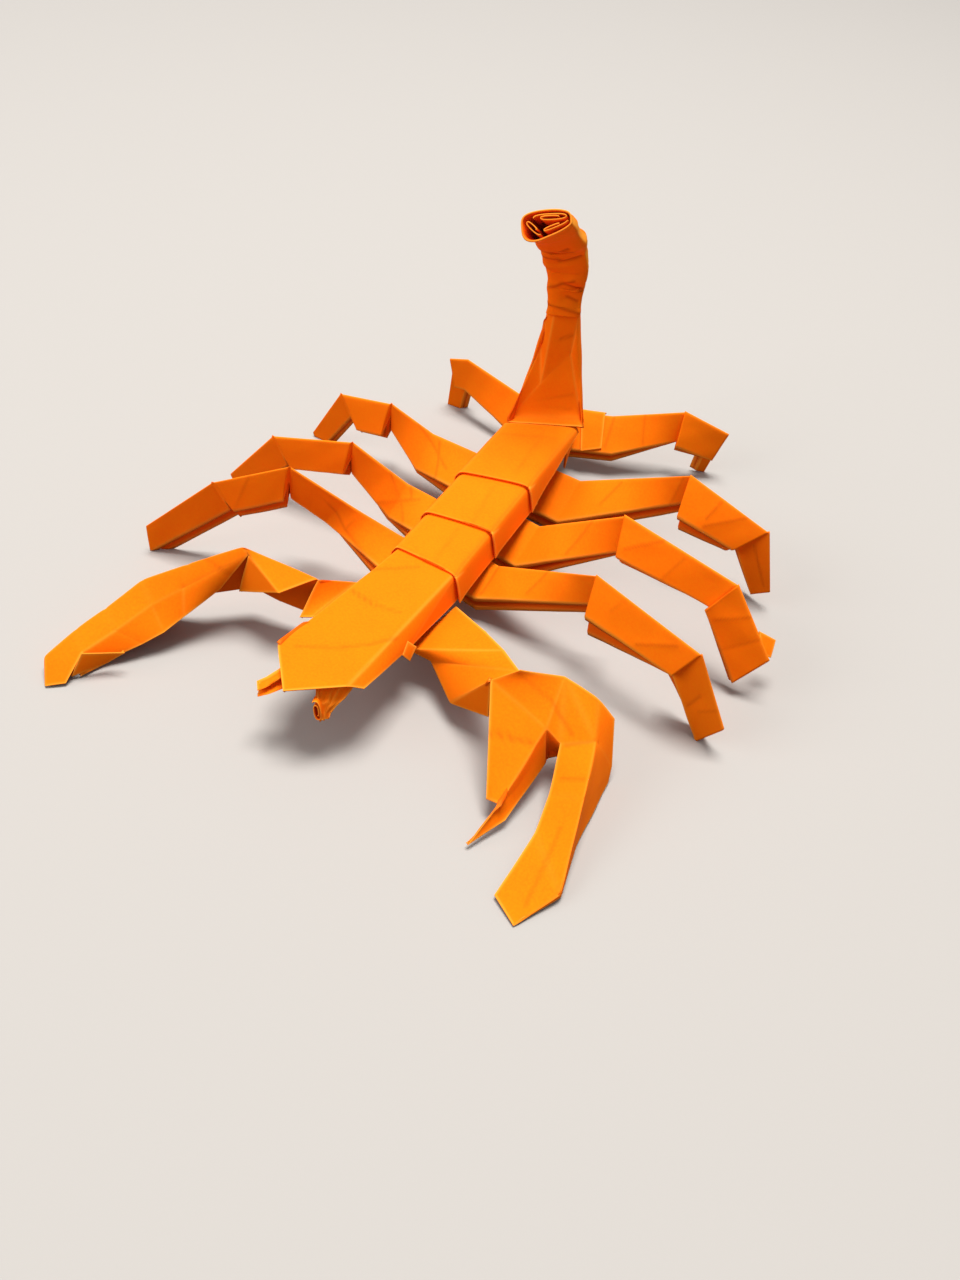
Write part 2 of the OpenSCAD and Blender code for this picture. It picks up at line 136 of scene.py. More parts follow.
def fold_marks(p, n, marks, width=0.42):
    """Lift, and a mask of painted crease shade, from fold marks left by earlier folding, each a line from a
    to b with a height h. Beside one, at distance x along the sheet, the sheet is lifted by 1.5 h *
    exp(-sqrt(x^2 + 0.2^2) / 1.4 mm)."""
    if not len(marks):
        return np.zeros(len(p)), np.zeros(len(p))
    a, b = (np.array([m[k] for m in marks], float) for k in (0, 1))
    h = np.array([m[2] for m in marks], float)
    ab = b - a
    t = np.clip(((p[:, None] - a) * ab).sum(-1) / (ab * ab).sum(-1), 0, 1)
    w = p[:, None] - (a + t[..., None] * ab)
    off = (w * n[:, None]).sum(-1)
    x = np.linalg.norm(w - off[..., None] * n[:, None], axis=-1)
    near = np.exp(-(off / 2.0) ** 4)
    lift = 1.5 * (np.exp(-np.sqrt(x * x + 0.04) / 1.4) * near) @ h
    crease_shade = (np.exp(-(x / width) ** 2) * near * np.clip(np.abs(h) / 0.1, 0.3, 1)).max(axis=1)
    return lift, crease_shade


def point_normals(p, quads):
    """Unit normal at each point: the sum of the cross products of the diagonals of the quads round it."""
    n = np.cross(p[quads[:, 2]] - p[quads[:, 0]], p[quads[:, 3]] - p[quads[:, 1]])
    out = np.zeros_like(p)
    for k in range(4):
        np.add.at(out, quads[:, k], n)
    return unit(out)


def rim_edges(quads):
    """The edges that only one quad has, in that quad's own direction."""
    e = np.concatenate([quads[:, [k, (k + 1) % 4]] for k in range(4)])
    _, inverse, counts = np.unique(np.sort(e, axis=1), axis=0, return_inverse=True, return_counts=True)
    return e[counts[inverse.ravel()] == 1]


def grid_quads(rows, cols, start=0, closed=False):
    """Quads of a grid of rows by cols points, stored row after row; closed joins the last column to the
    first."""
    i, j = np.meshgrid(np.arange(rows - 1), np.arange(cols if closed else cols - 1), indexing="ij")
    k = (j + 1) % cols
    quads = np.stack([i * cols + j, (i + 1) * cols + j, (i + 1) * cols + k, i * cols + k], axis=-1)
    return quads.reshape(-1, 4) + start


class Paper:
    """Closed shells of folded paper that become one piece: points in mm, quads, and for each point how much
    it lies on a fold, which gets a painted highlight with scuffed fibre, on an old fold mark, which gets
    painted crease shade, on a cut edge, which is lighter, partly a painted highlight, and inside a fold,
    which gets painted shade."""

    def __init__(self):
        self.points, self.quads, self.fields, self.size = [], [], [], 0

    def shell(self, outer, inner, quads, fold=0.0, mark=0.0, edge=0.0):
        """Outer and inner points with the same quads, closed along their rim."""
        n = len(outer)
        rim = rim_edges(quads)
        wall = np.stack([rim[:, 1], rim[:, 0], rim[:, 0] + n, rim[:, 1] + n], axis=1)
        both = np.arange(2 * n) < n
        self.points += [outer, inner]
        self.quads.append(np.concatenate([quads, quads[:, ::-1] + n, wall]) + self.size)
        fold, mark, edge = (np.resize(np.broadcast_to(f, n), 2 * n) for f in (fold, mark, edge))
        self.fields.append(np.stack([fold * both, mark * both, edge, ~both]))
        self.size += 2 * n

    def piece(self, name, material):
        """Puts the shells into one mesh in the model's frame, in metres, riding on the body."""
        p = place(np.concatenate(self.points))
        q = np.concatenate(self.quads).astype(np.int32)
        mesh = bpy.data.meshes.new(name)
        mesh.vertices.add(len(p))
        mesh.vertices.foreach_set("co", p.ravel())
        mesh.loops.add(q.size)
        mesh.loops.foreach_set("vertex_index", q.ravel())
        mesh.polygons.add(len(q))
        mesh.polygons.foreach_set("loop_start", np.arange(0, q.size, 4, dtype=np.int32))
        mesh.polygons.foreach_set("use_smooth", np.ones(len(q), dtype=bool))
        mesh.update(calc_edges=True)
        for field, values in zip(("fold", "mark", "edge", "inside"), np.concatenate(self.fields, axis=1)):
            layer = mesh.attributes.new(field, "FLOAT", "POINT")
            layer.data.foreach_set("value", values)
        mesh.validate()
        mesh.materials.append(material)
        made = bpy.data.objects.new(name, mesh)
        bpy.context.scene.collection.objects.link(made)
        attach(made, "root")
        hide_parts("scorpion")


# Sheets with flat facets between fold lines

def facet_grids(corners, facets, cells):
    """Each facet is shared out into one four-sided patch per corner, between the corner, the middles of its
    two sides and the facet's middle. A patch's point is the bilinear mix of those four, with lines that
    crowd towards the folds, at shares (i / cells)^1.35. Patches that meet share their points."""
    g = np.linspace(0, 1, cells + 1) ** 1.35
    s, t = (v[..., None] for v in np.meshgrid(g, g, indexing="ij"))
    blocks = []
    for facet in facets:
        c = corners[list(facet)]
        after = (c + np.roll(c, -1, axis=0)) / 2
        before = np.roll(after, 1, axis=0)
        for corner, a, b in zip(c, after, before):
            blocks.append(((1 - s) * (1 - t) * corner + s * (1 - t) * a + (1 - s) * t * b
                           + s * t * c.mean(axis=0)).reshape(-1, 3))
    size = (cells + 1) ** 2
    quads = np.concatenate([grid_quads(cells + 1, cells + 1, size * k) for k in range(len(blocks))])
    p = np.concatenate(blocks)
    _, first, inverse = np.unique(np.round(p / 0.002).astype(np.int64), axis=0,
                                  return_index=True, return_inverse=True)
    return p[first], inverse.ravel()[quads]


def fold_lines(corners, facets, soft, fold_r):
    """The sides that two facets share, with the way their bend points, how steep it is and its radius, and
    the sides that only one facet has, with the way into that facet."""
    normals = [polygon_normal(corners[list(f)]) for f in facets]
    owner = {}
    for k, f in enumerate(facets):
        for a, b in zip(f, f[1:] + f[:1]):
            owner[(a, b)] = k
    folds, rims = [], []
    for (a, b), k in owner.items():
        if (b, a) not in owner:
            rims.append((corners[a], corners[b], unit(np.cross(normals[k], corners[b] - corners[a]))))
        elif a < b:
            n, m = normals[k], normals[owner[(b, a)]]
            half = np.arccos(np.clip(n @ m, -1, 1)) / 2
            peak = np.sign(np.cross(n, m) @ (corners[b] - corners[a]))
            r = soft.get((a, b), fold_r)
            folds.append((corners[a], corners[b], unit(n + m) * peak * min(np.tan(half), 1.3), half, r))
    return folds, rims


def folded_sheet(paper, corners, facets, cells, fold_r=0.3, waves=0.1, pitch=9.0, seed=1,
                 marks=(), plies=2, ply=PLY, soft=None, lips=()):
    """A folded sheet. Beside a fold at distance x each point is drawn back by tan(half the bend) *
    (sqrt(x^2 + r^2) - x), which turns the sharp fold into a round one; soft gives folds a radius of their
    own. lips are lines a-b near which the sheet curls by a vector * exp(-x / 2.5 mm). The plies lie under
    each other, each inner one stops a little short at the cut edges, and all get thinner towards a fold
    that leaves them less room."""
    corners = np.asarray(corners, float)
    facets = [tuple(f) for f in facets]
    p, quads = facet_grids(corners, facets, cells)
    folds, rims = fold_lines(corners, facets, soft or {}, fold_r)
    shift = np.zeros_like(p)
    fold = np.zeros(len(p))
    room = np.full(len(p), 9.0)
    if folds:
        x = from_segments(p, np.array([f[0] for f in folds]), np.array([f[1] for f in folds]))
        r = np.array([f[4] for f in folds])
        shift -= (np.sqrt(x * x + r * r) - x) @ np.array([f[2] for f in folds])
        half = np.array([f[3] for f in folds])
        room = (0.1 + 0.9 * x * np.cos(half) + 9.0 * (half < 0.9)).min(axis=1)
        # fold: a painted highlight along each fold, with scuffed fibre, less for gentle bends and 0.3 of it
        # where the radius is over 0.6 mm.
        sharp = np.clip(half / 0.35, 0.2, 1) * np.where(r > 0.6, 0.3, 1)
        fold = (np.exp(-(x / (0.22 + r * 0.4)) ** 2) * sharp).max(axis=1)
    x = from_segments(p, np.array([r[0] for r in rims]), np.array([r[1] for r in rims]))
    near = x.argmin(axis=1)
    inward = np.array([r[2] for r in rims])[near]
    rim_x = x.min(axis=1)
    edge = np.exp(-(rim_x / 0.3) ** 2)
    whole = plies * ply + (plies - 1) * PLY_GAP
    thin = np.minimum(room / whole, 1)[:, None]
    n = point_normals(p + shift, quads)
    lift, mark = fold_marks(p, n, marks)
    p = p + shift + (lift + waves * ripple(p, seed, pitch))[:, None] * n
    for a, b, way in lips:
        x = from_segments(p, np.array([a], float), np.array([b], float))
        p = p + np.exp(-x / 2.5) * way
    n = point_normals(p, quads)
    for k in range(plies):
        top = k * (ply + PLY_GAP)
        back = (np.clip(1 - rim_x / 2.5, 0, 1) ** 2 * SET_BACK * k)[:, None] * inward
        outermost = k == 0
        paper.shell(p - top * thin * n + back, p - (top + ply) * thin * n + back, quads,
                    fold * outermost, mark * outermost, edge)


# Back

def pleat_end(side, y, skew, w, z):
    return np.array([side * w / 2, y + side * skew / 2, z])


def back_plate(paper, y0, y1, skew0, skew1, z, w, side_h, seed, marks):
    """One plate: a flat top with a side folded down at each long edge, by SIDE_H in front and side_h at the
    rear, and with its front edge turned under."""
    fl, fr = pleat_end(-1, y0, skew0, w, z), pleat_end(1, y0, skew0, w, z)
    rl, rr = pleat_end(-1, y1, skew1, w, z), pleat_end(1, y1, skew1, w, z)
    down = np.array([SIDE_FLARE / SIDE_H, 0, -1])
    step = np.array([-1.02, 0, -1.7])
    left = np.array([-0.6, 0, -SIDE_H])
    under = np.array([0, 0.5, -0.62])
    lap = np.array([0, 3.0, -1.3])
    corners = [
        fl, fr, rr, rl,
        fr + SIDE_H * down, rr + side_h * down,
        fl + step, rl + step,
        fl + left + step, rl + left + step,
        fl + under, fr + under, fl + lap, fr + lap,
    ]
    facets = [(0, 1, 2, 3), (1, 4, 5, 2), (3, 7, 6, 0), (7, 9, 8, 6), (10, 11, 1, 0), (12, 13, 11, 10)]
    folded_sheet(paper, corners, facets, PLATE_CELLS, fold_r=0.22, waves=0.07, pitch=11, seed=seed,
                 marks=marks, soft={(1, 2): 1.1, (0, 3): 0.7, (0, 1): 0.3},
                 lips=((fl, fr, (0, 0, 0.3)), (fr, fr + SIDE_H * down, (0.5, -0.3, 0))))


def head_shield(paper):
    """The shield widens to the front and ends in a blunt point."""
    z, w, front = BACK_H, BACK_W / 2, SHIELD_W / 2
    corners = np.array([
        [-w, PLEAT_LAP, z],
        [-front, -SHIELD_LEN, z],
        [-1.5, -SHIELD_LEN - SHIELD_TIP, z],
        [front - 2.4, -SHIELD_LEN - 1, z],
        [w - 0.6, PLEAT_LAP, z],
        [w - 0.6 + SIDE_FLARE, PLEAT_LAP, z - SIDE_H],
        [w + 1.6, -20, z - 4],
        [front - 0.6, -SHIELD_LEN + 1.5, z - 1.8],
        [-w - 1.4, PLEAT_LAP, z - SIDE_H],
        [-front + 1.3, -SHIELD_LEN + 8, z - 4],
    ])
    a = np.radians(-SHIELD_TURN)
    turn = np.array([[np.cos(a), np.sin(a), 0], [-np.sin(a), np.cos(a), 0], [0, 0, 1]])
    facets = [(0, 1, 2, 3, 4), (4, 3, 7, 6), (4, 6, 5), (0, 8, 9), (0, 9, 1)]
    folded_sheet(paper, corners @ turn, facets, SHIELD_CELLS, fold_r=0.3, waves=0.1, pitch=13, seed=3,
                 soft={(3, 4): 0.45}, marks=SHIELD_MARKS)


# Old fold marks: from, to, and height, which is below 0 where the sheet is pressed in
SHIELD_MARKS = (
    ((-8.7, -32.9, 16), (-2.3, -29.2, 16), -0.06), ((-2.3, -29.2, 16), (2.5, -25.3, 16), -0.07),
    ((2.5, -25.3, 16), (5.9, -20.9, 15.5), -0.07), ((-8.1, -14.6, 16), (-3, -15.7, 16), -0.09),
    ((-3, -15.7, 16), (2.9, -15, 16), -0.06), ((-7.8, -6.9, 16), (-0.6, -1.8, 16), -0.07),
)
PLATE_MARKS = (
    (((0.8, 12.5, 16.6), (1.8, 0.5, 16.6), 0.04),),
    (((0.9, 28.5, 17.2), (2.7, 15.4, 17.2), 0.04),),
    (((1.5, 53.5, 17.8), (3.2, 34.2, 17.8), 0.04), ((-6, 47, 17.8), (5, 52, 17.8), -0.04)),
)

# A small end of the sheet that stands out beside the shield
SHIELD_TAB = ((7, -19, 13.8), (7.3, -21.3, 12), (8.3, -20.2, 10), (8.6, -18.3, 12.4))


def make_back(material):
    """Three plates, each a little higher and wider than the one before it, and the head shield."""
    rear_y = FIRST_LEN + SECOND_LEN
    for k, (name, y0, y1, side_h) in enumerate((
        ("first_plate", 0.0, FIRST_LEN + PLEAT_LAP, SIDE_H),
        ("second_plate", FIRST_LEN, rear_y + PLEAT_LAP, SIDE_H),
        ("rear_plate", rear_y, TAIL_Y, REAR_SIDE_H),
    )):
        paper = Paper()
        back_plate(paper, y0, y1, PLEAT_SKEW[k], PLEAT_SKEW[k + 1], BACK_H + PLEAT_RISE * (k + 1),
                   BACK_W + PLEAT_WIDEN * (k + 1), side_h, seed=10 + k, marks=PLATE_MARKS[k])
        paper.piece(name, material)
    paper = Paper()
    head_shield(paper)
    folded_sheet(paper, SHIELD_TAB, ((0, 1, 2, 3),), 6, seed=35)
    paper.piece("head_shield", material)


def make_underside(material):
    """The plies that close the body from below, and its end behind the tail."""
    z, w = BELLY_H + 1.4, BACK_W / 2 - 1
    paper = Paper()
    folded_sheet(paper, [
        [-w - 2, -33, BACK_H - 2], [w - 1, -33, BACK_H - 2], [w, -14, z], [w, TAIL_Y - 3, z],
        [w, TAIL_Y + 3, BACK_H + 1], [-w - 1, TAIL_Y - 3, BACK_H + 1], [-w, TAIL_Y - 10, z], [-w, -14, z],
    ], [(0, 1, 2, 7), (7, 2, 3, 6), (6, 3, 4, 5)], UNDERSIDE_CELLS, waves=0.12, seed=21, plies=3, ply=0.4)
    paper.piece("underside", material)
    low = BELLY_H + 1
    paper = Paper()
    folded_sheet(paper, [
        [-8, TAIL_Y - 6, BACK_H], [7, TAIL_Y, BACK_H], [2.5, TAIL_Y + 18, 12.4], [-9.5, TAIL_Y + 16.5, 12.6],
        [7, TAIL_Y, low], [2.5, TAIL_Y + 18.5, low], [-9.5, TAIL_Y + 17, low], [-8, TAIL_Y - 6, low],
    ], [(0, 1, 2, 3), (1, 4, 5, 2), (2, 5, 6, 3), (3, 6, 7, 0)], RUMP_CELLS, waves=0.1, seed=22)
    paper.piece("rump", material)


# Legs

def leg_out(side, turn):
    """The way a leg reaches out, seen from above."""
    return np.array([side * np.cos(np.radians(turn)), np.sin(np.radians(turn)), 0])


def leg_point(side, root, q):
    """A place on a leg, q[0] out from its root and q[1] up."""
    return np.array([0, root[0], 0]) + q[0] * leg_out(side, root[1]) + np.array([0, 0, q[1]])


def mitre(a, b):
    """The way halfway between two, long enough to keep a flap's width round the bend."""
    m = unit(a + b)
    return m / max(m @ a, 0.6)


class LegPlan:
    """Stations along a leg: a ridge point and the edges of the front and the rear flap."""

    def __init__(self, side, root, ridge, flaps, foot_cut):
        self.side, self.flaps, self.foot_cut = side, flaps, foot_cut
        self.p = [leg_point(side, root, q) for q in ridge]
        self.n = len(self.p) - 1
        self.d = [unit(b - a) for a, b in zip(self.p, self.p[1:])]
        out = leg_out(side, root[1])
        self.ahead = np.array([side * np.sin(np.radians(root[1])), -np.cos(np.radians(root[1])), 0])
        hang = [(v @ out) * np.array([0, 0, -1]) + v[2] * out for v in self.d]
        self.joint = [mitre(hang[max(i - 1, 0)], hang[min(i, self.n - 1)]) for i in range(self.n + 1)]
        self.hang = hang
        self.square = self.n - 1 if foot_cut == 0 else -1
        self.foot_back = FOOT_BACK * self.ahead * (self.square > 0)

    def station(self, i, end, cut, part=1.0, grow=0.0, top=0.0):
        """Station at ridge point i, at the end (1) of the length before it or the start (0) of the one after,
        cut short by cut. Its flaps have a share of their width, and grow below and top above the ridge."""
        k = i - end
        along = self.d[k]
        joint = self.hang[k] if i == self.square else self.joint[i]
        back = 1 if end == 1 else -1
        rows = [self.p[i] - back * max(0, min(cut, 0.4)) * along - top * unit(joint)]
        for rear in (0, 1):
            extra, lean, *over = self.flaps[k][end]
            w = LEG_W + extra + grow + rear * (over[0] if over else REAR_OVER)
            whole = rear and self.side < 0 and 0 < i < self.n
            w *= 1 if whole else part
            lean = np.radians(lean - rear * LEG_GAPE)
            rows.append(self.p[i] + w * (np.cos(lean) * joint + np.sin(lean) * self.ahead)
                        - back * (0 if whole else cut) * along)
        return np.array(rows)

    def runs(self):
        """Lengths that turn smoothly into each other, as lists of stations. A right leg's bends are sleeves,
        each length slipped into the next one; a left leg's bends open in a wedge. A rear leg's foot slips
        in behind a length that is cut square."""
        runs, now = [], [self.station(0, 0, 0)]
        for i in range(1, self.n):
            if self.flaps[i][0] == self.flaps[i - 1][1]:
                now.append(self.station(i, 0, 0))
            elif i == self.square:
                now.append(self.station(i, 1, -0.3))
                runs.append(now)
                now = [self.station(i, 0, 0.3, top=-0.4, grow=-0.4) + FOOT_DOWN * self.d[i] - self.foot_back]
            elif self.side > 0:
                now.append(self.station(i, 1, -0.6, top=-0.35, grow=-0.4))
                runs.append(now)
                now = [self.station(i, 0, -0.2, top=0.1, grow=0.5)]
            else:
                now += [self.station(i, 1, CRIMP / 2), self.station(i, 1, 0, CRIMP_PART),
                        self.station(i, 0, CRIMP / 2)]
        now.append(self.station(self.n, 1, -self.foot_cut) - self.foot_back)
        return runs + [now]


def leg_run(paper, side, stations, seed, marks):
    """One length of a leg: a hairpin profile carried along the stations. Across, a runs from -1 at the rear
    edge over 0 at the ridge to 1 at the front edge, and the profile is the ridge plus the front flap times
    (sqrt(a^2 + r^2) + a) / 2 plus the rear flap times (sqrt(a^2 + r^2) - a) / 2, spread by the plies'
    thickness on both sides of the ridge. The inner face leaves a ridge two millimetres lower down and ends
    inside the plies' thickness. What would reach below the floor ends on it."""
    q = np.array(stations)
    steps = np.linalg.norm(q[1:] - q[:-1], axis=-1).max(axis=1)
    counts = np.maximum(np.ceil(steps / LEG_ROW).astype(int), 2)
    v = np.concatenate([k + np.arange(c) / c for k, c in enumerate(counts)] + [[len(counts)]])
    k = np.minimum(v.astype(int), len(counts) - 1)
    f = (v - k)[:, None]
    ridge, front, rear = (mix(q[k, i], q[k + 1, i], f) for i in range(3))
    g = np.linspace(0, 1, LEG_CELLS + 1) ** 1.25
    a = np.concatenate([-g[::-1], g[1:]])
    r = 0.045
    fa, ra = (np.sqrt(a * a + r * r) + a) / 2, (np.sqrt(a * a + r * r) - a) / 2
    ff, rf = (front - ridge)[:, None], (rear - ridge)[:, None]
    gap = unit(rear - front)
    outer = ridge[:, None] + fa[:, None] * ff + ra[:, None] * rf
    outer = outer - (RIDGE_HALF * np.tanh(a / 0.05))[:, None] * gap[:, None]
    apex = ridge + 2.0 * unit((front + rear) / 2 - ridge)
    thick = PLY * 2 + PLY_GAP
    fi, ri = front + thick * gap, rear - thick * gap
    pa = np.clip(a, 0, 1)[:, None]
    na = np.clip(-a, 0, 1)[:, None]
    inner = apex[:, None] + pa * (fi - apex)[:, None] + na * (ri - apex)[:, None]
    last = np.flatnonzero(v >= len(counts) - 1)
    for skin in (outer, inner):
        start, end = skin[last[0]].copy(), skin[-1].copy()
        drop = np.maximum(start[:, 2] - end[:, 2], 1e-6)
        keep = np.clip((start[:, 2] - 0.03) / drop, 0, 1)[:, None]
        share = (v[last] - v[last[0]])[:, None, None]
        skin[last] = start + share * keep * (end - start)
    outer, inner = outer.reshape(-1, 3), inner.reshape(-1, 3)
    quads = grid_quads(len(v), len(a))
    if side < 0:
        quads = quads[:, ::-1]
    n = point_normals(outer, quads)
    lift, mark = fold_marks(outer, n, marks, 0.34)
    calm = np.tile(np.clip(np.abs(a) * 3, 0, 1), len(v)) * np.clip(outer[:, 2] / 0.6 - 0.2, 0, 1)
    lift = ((lift + 0.1 * (ripple(outer, seed, 7.0) + crumple(outer, seed, 12.0))) * calm)[:, None] * n
    x = np.tile(np.abs(a), len(v)) * LEG_W
    # fold: a painted highlight along the ridge, with scuffed fibre; edge: the flaps' cut edges, lighter,
    # partly a painted highlight.
    fold = np.exp(-(x / 0.7) ** 2) * 0.8
    edge = np.exp(-((LEG_W - x) / 0.3) ** 2)
    paper.shell(outer + lift, inner + lift, quads, fold, mark, edge)


# Each leg: its side, the place of its root along the body and its turn in degrees, its ridge's points out
# and up, for each length the flaps at its start and end, and how far the foot runs past the last point.
# Flaps are (added width, lean in degrees), with how much longer the rear one is where it isn't REAR_OVER.
LEGS = {
    "right_leg_1": (1, (18.2, -17), (RIGHT_START, (10.4, 9), (34.6, 23), (60.6, 21), (69.4, 7.5)), (
        ((1, 66), (1, 66)),
        ((1, 66), (-0.7, -4, 3)),
        ((0, 26, 3.4), (0, 17, 1.2)),
        ((0, 3, 3.2), (0, 0, 1)),
    ), 4),
    "right_leg_2": (1, (35, -14), (RIGHT_START, (12, 9), (32, 24), (59.8, 23), (70.8, 10)), (
        ((3, 64), (3, 64)),
        ((3, 64), (0, 3)),
        ((0, 28), (0, 12)),
        ((0, 18), (0.7, 28)),
    ), 2.5),
    "right_leg_3": (1, (54.6, -10), (RIGHT_START, (12.8, 9.1), (38.6, 24), (59, 19.5), (63.2, 5)), (
        ((4, 64), (4, 64)),
        ((4, 64), (-1, -6, 3)),
        ((0.5, 30, 2.4), (0.5, 18, 2)),
        ((0, -4, 2.2), (-3.5, 0, 1)),
    ), 2),
    "right_leg_4": (1, (TAIL_Y + 17.7, 17), ((-3, 11.5), (10.5, 12.6), (27.3, 17.3), (39, 13), (35.4, 0)), (
        ((1.5, 50), (1.5, 48)),
        ((1.5, 48), (0, 8)),
        ((0, 24), (0, 8)),
        ((-4, 20), (-6, 20)),
    ), 0),
    "left_leg_1": (-1, (13, -22),
                   (LEFT_START, (11.6, 12.8), (23.2, 19.8), (34.4, 27), (50.8, 20.6), (66, 6.9)), (
        ((1.5, 68), (1.5, 68)),
        ((1.5, 68), (-0.2, -6)),
        ((-0.2, -6), (-0.7, -8)),
        ((-1, 8, 2.4), (-1, 10, 2.2)),
        ((-1.2, 2, 2.6), (-3, 6, 2.2)),
    ), 4.5),
    "left_leg_2": (-1, (25, -7),
                   (LEFT_START, (10.5, 12.8), (17, 14.6), (30.4, 21.2), (50, 16.7), (61.6, 2.5)), (
        ((1.5, 68), (1.5, 68)),
        ((1.5, 68), (0.7, 30)),
        ((0.7, 30), (-0.2, -4)),
        ((-0.4, 10), (-0.4, 8)),
        ((-1.2, 2), (-3, 5)),
    ), 3),
    "left_leg_3": (-1, (43.7, 0),
                   (LEFT_START, (10.6, 12.9), (22, 13.8), (33.4, 17.6), (47.4, 15.3), (55.4, 1.2)), (
        ((2.5, 66), (2.5, 66)),
        ((2.5, 66), (1.3, 32)),
        ((1.3, 32), (-1.3, 0)),
        ((0, 16), (0, 14)),
        ((-3, 2), (-4.3, 6)),
    ), 3),
    "left_leg_4": (-1, (TAIL_Y + 15.5, 5), ((3, 10), (13.3, 12.6), (29, 16.2), (34.2, 14.4), (34.6, 0)), (
        ((1, 30), (1, 25)),
        ((1, 25), (0, 6)),
        ((0, 6), (-0.5, 2)),
        ((-2.5, -6), (-4.5, -6)),
    ), 0),
}


LEG_MARKS = {
    "right_leg_1": (
        ((22.3, 11.1, 16.2), (19.4, 8, 11.2), -0.1), ((10.3, 14.5, 9), (9.5, 7.7, 6.3), 0.16),
        ((45.3, 1.8, 15.5), (52.9, 1.3, 19.5), -0.1), ((58.1, 0.3, 7), (59.9, -0.2, 11.1), 0.12),
        ((60.6, -0.5, 7.5), (64.2, -1.4, 10.8), -0.06), ((38, 3.5, 19), (41, 4.5, 24), -0.06),
    ),
    "right_leg_2": (
        ((24.1, 28.4, 17.8), (21.1, 24.5, 10.4), -0.12), ((33.5, 23.5, 18.2), (41.2, 24.6, 23.3), -0.1),
        ((53.9, 19.2, 15.1), (57, 20.3, 21.4), -0.14), ((55.8, 18.2, 14), (62, 19.5, 17), -0.1),
        ((59, 18, 8), (65, 19, 13), 0.1), ((43, 22, 16), (46, 23, 22), -0.06),
    ),
    "right_leg_3": (
        ((23, 49.4, 14.2), (20.3, 45.6, 9.3), -0.12), ((46.3, 45.9, 21.1), (44.4, 44.2, 17.1), -0.12),
        ((44.4, 43.4, 15.4), (52.4, 45.1, 20), -0.1), ((36.5, 47.5, 22.5), (35.5, 45.5, 15.5), -0.16),
        ((55.5, 44.3, 14), (60.5, 44.8, 5.5), 0.12),
    ),
    "right_leg_4": (
        ((3.8, 74.1, 11.9), (6.9, 67.5, 5.5), -0.15), ((10.7, 75.6, 11.9), (11.3, 70.3, 7.1), -0.1),
        ((17.5, 78, 14.5), (19, 75, 8.5), -0.08),
    ),
    "left_leg_1": (
        ((-28, 4, 22), (-20.5, 2.6, 13.6), -0.12), ((-20.5, 2.6, 13.6), (-12.9, 0.7, 9.2), 0.15),
        ((-39.6, -3, 23.6), (-42.9, -4.3, 14.3), -0.08), ((-18.5, 7, 17), (-20.5, 2.6, 13.6), -0.08),
    ),
    "left_leg_2": (
        ((-22.2, 19.3, 9.2), (-13.1, 21.4, 12.3), -0.09), ((-16, 22.4, 13.7), (-14.7, 20.8, 12), -0.12),
        ((-22, 23, 17), (-14, 16.5, 8.5), -0.09),
    ),
    "left_leg_3": (
        ((-19.8, 42.6, 12.5), (-16.9, 36, 7.6), -0.1), ((-26, 43, 15), (-15, 38, 9), 0.1),
    ),
}


# Small turned-out ends of the sheet on two of the legs
LEG_TABS = {
    "right_leg_2": (
        ((64.4, 22.3, 11.8), (67.9, 23.6, 10), (68.4, 20.9, 7.5), (66.4, 19.3, 8.9)),
        ((0, 3, 2, 1),),
    ),
    "right_leg_4": (
        ((2.7, 73.6, 13), (8.3, 75.2, 13.2), (10.9, 69, 7.2), (6.6, 66.4, 6.2), (2.6, 74.8, 12.2),
         (8.3, 76.4, 12.4)),
        ((0, 3, 2, 1), (4, 0, 1, 5)),
    ),
}


def make_legs(material):
    for seed, (name, (side, root, ridge, flaps, foot_cut)) in enumerate(LEGS.items()):
        paper = Paper()
        if name in LEG_TABS:
            corners, facets = LEG_TABS[name]
            folded_sheet(paper, corners, facets, 8, waves=0.1, pitch=4, seed=30 + seed)
        for k, run in enumerate(LegPlan(side, root, ridge, flaps, foot_cut).runs()):
            leg_run(paper, side, run, seed=40 + seed * 5 + k, marks=LEG_MARKS.get(name, ()))
        paper.piece(name, material)


# Tail

# Rings of the rolled part: place behind the rear plate, height, width, thickness, and turn in degrees
TAIL_X = -1.5
TAIL_RINGS = np.array([
    (-1.5, 17, 16, 1.6, 27),
    (0.5, 23, 15, 2.4, 27),
    (3, 31, 10.0, 3, 27),
    (5.5, 39, 7.5, 3.4, 26),
    (7, 44.5, 6.8, 3.6, 24),
    (7, 49, 8, 3.8, 20),
    (5.5, 54, 9.2, 4, 15),
    (1.5, 60.5, 9.7, 4.4, 10),
    (-5, 66, 9.5, 4.8, 8),
    (-9.1, 68.8, 10, 5.2, 6),
])

# The ring where the roll leaves the root, its wall, and its end's turn in degrees
ROLL_START = 3.6
ROLL_WALL = 0.32
END_TURN = 20

# Flat strips in the open end: place across and through, tilt in degrees, half the width and thickness, turns
END_STRIPS = (
    (-2.9, -0.4, -46, 2.2, 0.75, 1.0), (0.9, 1.0, -4, 3.7, 0.8, 1.5), (1.2, -0.7, 15, 3.0, 0.55, 1.0),
)


def tail_frame(v):
    """Centre, direction, way across, way through, width and thickness of the tail at each place v along its
    rings, as arrays."""
    k = np.minimum(v.astype(int), len(TAIL_RINGS) - 2)
    row = mix(TAIL_RINGS[k], TAIL_RINGS[k + 1], (v - k)[:, None])
    c = np.stack([np.full(len(v), TAIL_X), TAIL_Y + row[:, 0], row[:, 1]], axis=1)
    d = unit(np.gradient(c, axis=0))
    a = np.radians(row[:, 4])
    across = np.stack([np.cos(a), np.sin(a), a * 0], axis=1)
    through = unit(np.cross(d, across))
    return c, d, across, through, row[:, 2], row[:, 3]


